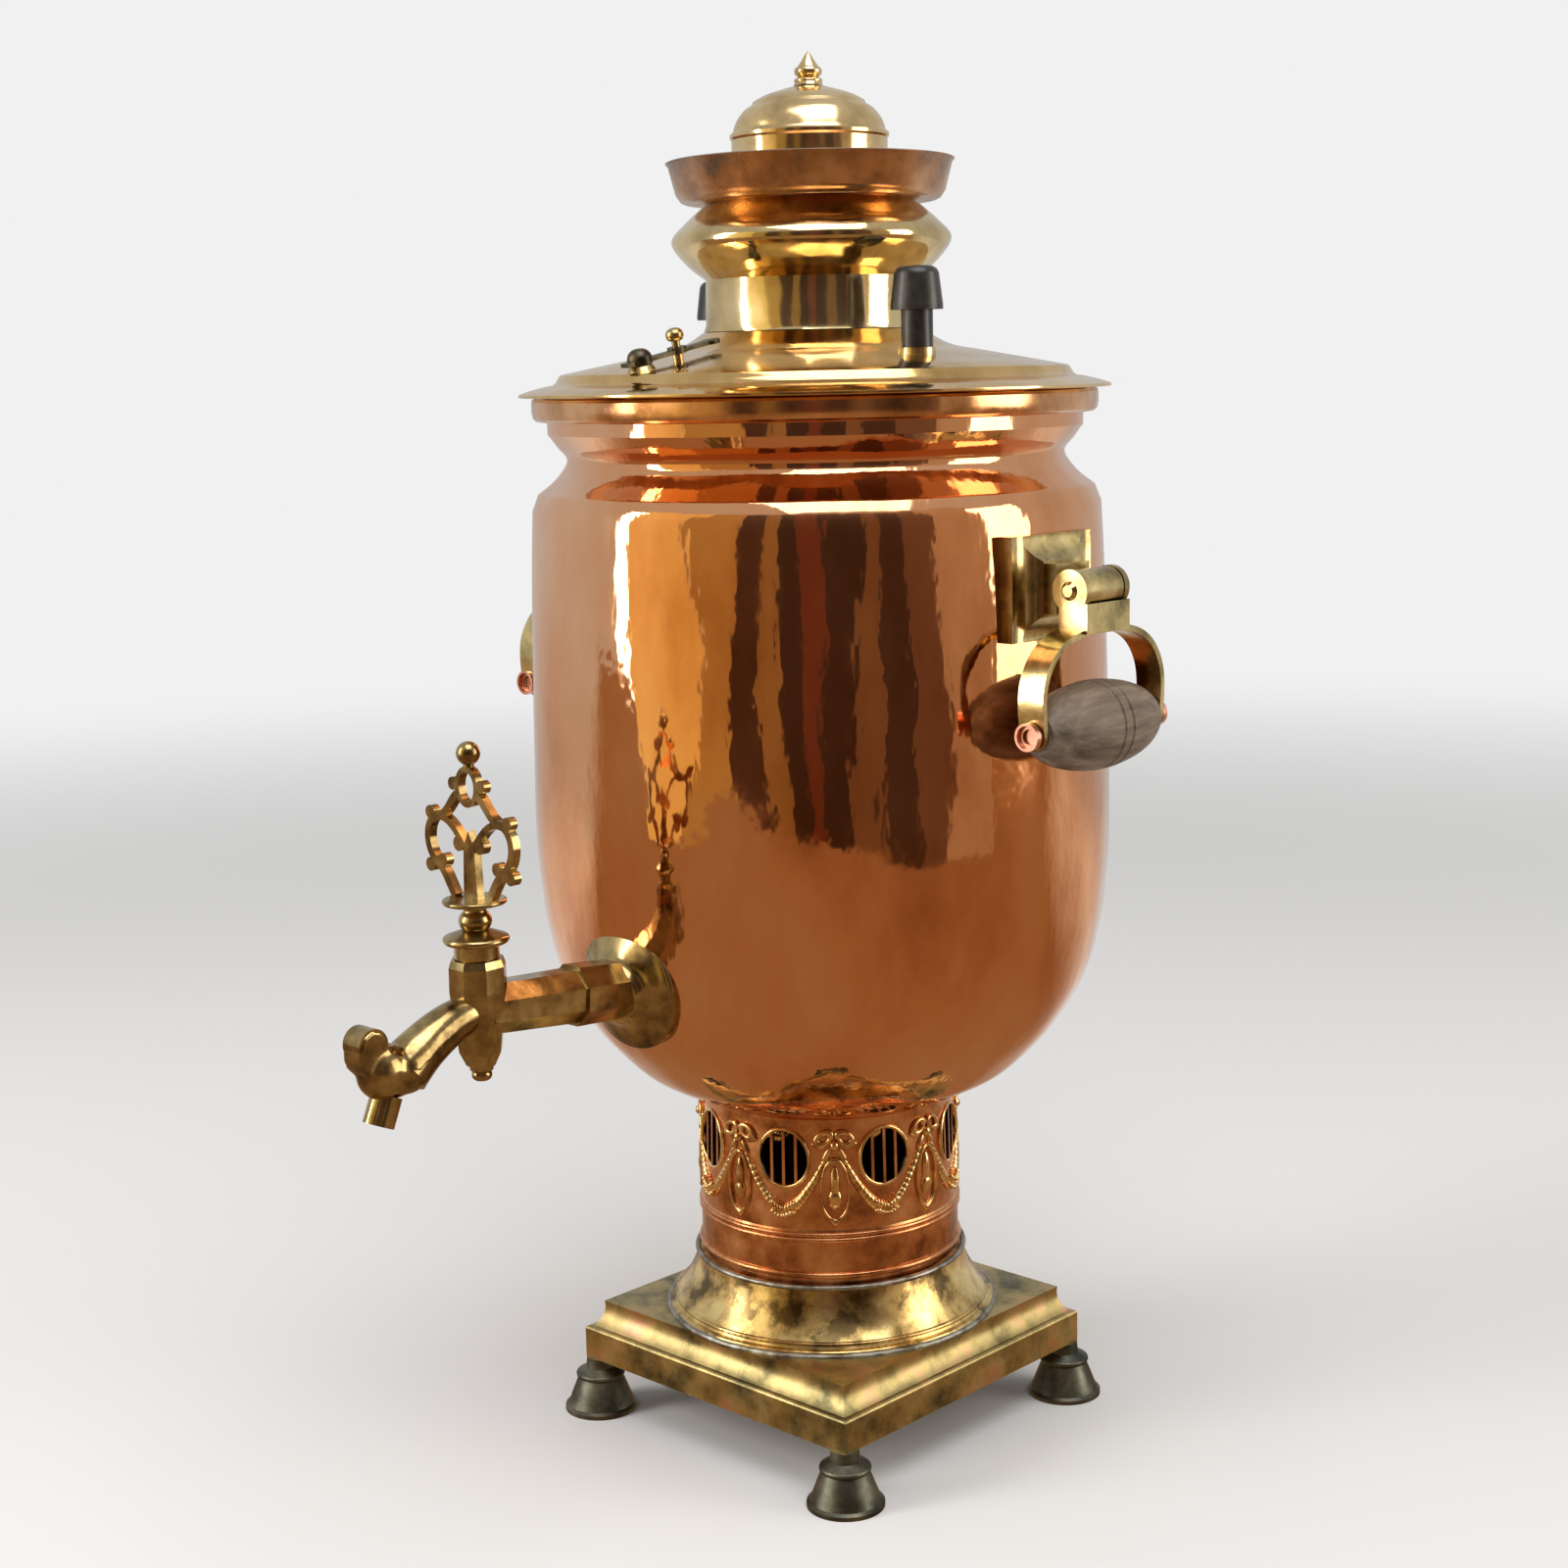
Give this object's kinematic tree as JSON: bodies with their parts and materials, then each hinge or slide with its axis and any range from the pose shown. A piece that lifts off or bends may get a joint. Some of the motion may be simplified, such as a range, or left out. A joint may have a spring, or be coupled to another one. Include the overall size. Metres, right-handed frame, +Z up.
{
  "type": "samovar",
  "caption": "Charcoal-fired copper samovar: a water boiler on a pierced neck and square base, with a tap, two swinging handles, a vented lid, a teapot crown and a chimney cap.",
  "frame": {"origin": "on the surface that the feet stand on, on the vertical axis of the round body", "axes": "+Z up along the body's axis, the tap points along -Y, the handles are on +X and -X"},
  "size_m": [0.2868, 0.335, 0.52],
  "materials": {
    "copper": "polished copper sheet, softly dented",
    "base_brass": "tarnished brass with solder and verdigris",
    "tap_brass": "antique brass casting",
    "handle_brass": "worn brass",
    "lid_brass": "polished brass",
    "crown_brass": "polished brass",
    "cap_brass": "polished brass",
    "brass": "worn brass",
    "rivet_copper": "dull copper",
    "foot_bronze": "dark bronze",
    "tinned_sheet": "sooty tinned sheet",
    "knob_black": "black ebonised knob",
    "grip_wood": "weathered turned wood",
    "vent_dark": "dark brass"
  },
  "bodies": {
    "boiler": {"base_moulding": "base_brass", "base_plate": "base_brass", "body_rim": "copper", "body_shell": "copper", "fire_grate": "tinned_sheet", "fire_tube": "tinned_sheet", "foot_back": "foot_bronze", "foot_front": "foot_bronze", "foot_left": "foot_bronze", "foot_right": "foot_bronze", "handle_bracket_left": "handle_brass", "handle_bracket_right": "handle_brass", "tap_backnut": "tap_brass", "tap_body": "tap_brass", "tap_nozzle": "tap_brass", "tap_pipe": "tap_brass", "tap_rosette": "copper", "tap_sleeve": "tap_brass", "tap_tail": "tap_brass", "vent_neck": "copper"},
    "tap_key_set": {"tap_plug": "tap_brass", "tap_end_screw": "tap_brass", "tap_stem": "tap_brass", "tap_key": "tap_brass"},
    "lid": {"lid_plate": "lid_brass", "lid_collar": "lid_brass", "lid_knob_right": "knob_black", "lid_knob_left": "knob_black", "knob_washer_right": "knob_black", "knob_washer_left": "knob_black", "vent_seat": "brass", "vent_post": "brass"},
    "vent_arm": {"vent_lever": "brass", "vent_plug": "vent_dark"},
    "crown": {"crown_skirt": "crown_brass", "crown_gallery": "crown_brass"},
    "cap": {"chimney_cap": "cap_brass", "cap_finial": "cap_brass"},
    "handle_right": {"handle_bail_right": "handle_brass", "handle_pin_right": "handle_brass", "handle_rod_right": "handle_brass", "handle_rivets_right": "rivet_copper"},
    "grip_right": {"handle_grip_right": "grip_wood"},
    "handle_left": {"handle_bail_left": "handle_brass", "handle_pin_left": "handle_brass", "handle_rod_left": "handle_brass", "handle_rivets_left": "rivet_copper"},
    "grip_left": {"handle_grip_left": "grip_wood"}
  },
  "joints": [
    {"name": "tap_turn", "type": "hinge", "parent": "boiler", "child": "tap_key_set", "pos_m": [0, -0.172, 0.2], "axis": [0, 0, 1], "continuous": true},
    {"name": "handle_right_swing", "type": "hinge", "parent": "boiler", "child": "handle_right", "pos_m": [0.127, 0, 0.33], "axis": [0, -1, 0], "range_deg": [0, 95]},
    {"name": "handle_left_swing", "type": "hinge", "parent": "boiler", "child": "handle_left", "pos_m": [-0.127, 0, 0.33], "axis": [0, 1, 0], "range_deg": [0, 95]},
    {"name": "grip_right_spin", "type": "hinge", "parent": "handle_right", "child": "grip_right", "pos_m": [0.1278, 0, 0.283], "axis": [0, 1, 0], "continuous": true},
    {"name": "grip_left_spin", "type": "hinge", "parent": "handle_left", "child": "grip_left", "pos_m": [-0.1278, 0, 0.283], "axis": [0, 1, 0], "continuous": true},
    {"name": "lid_lift", "type": "slide", "parent": "boiler", "child": "lid", "axis": [0, 0, 1], "range_m": [0, 0.12]},
    {"name": "vent_swing", "type": "hinge", "parent": "lid", "child": "vent_arm", "pos_m": [0, -0.07, 0.41017], "axis": [0, -0.1871, 0.9823], "range_deg": [0, 100]},
    {"name": "crown_lift", "type": "slide", "parent": "lid", "child": "crown", "axis": [0, 0, 1], "range_m": [0, 0.07]},
    {"name": "cap_lift", "type": "slide", "parent": "crown", "child": "cap", "axis": [0, 0, 1], "range_m": [0, 0.04]}
  ]
}
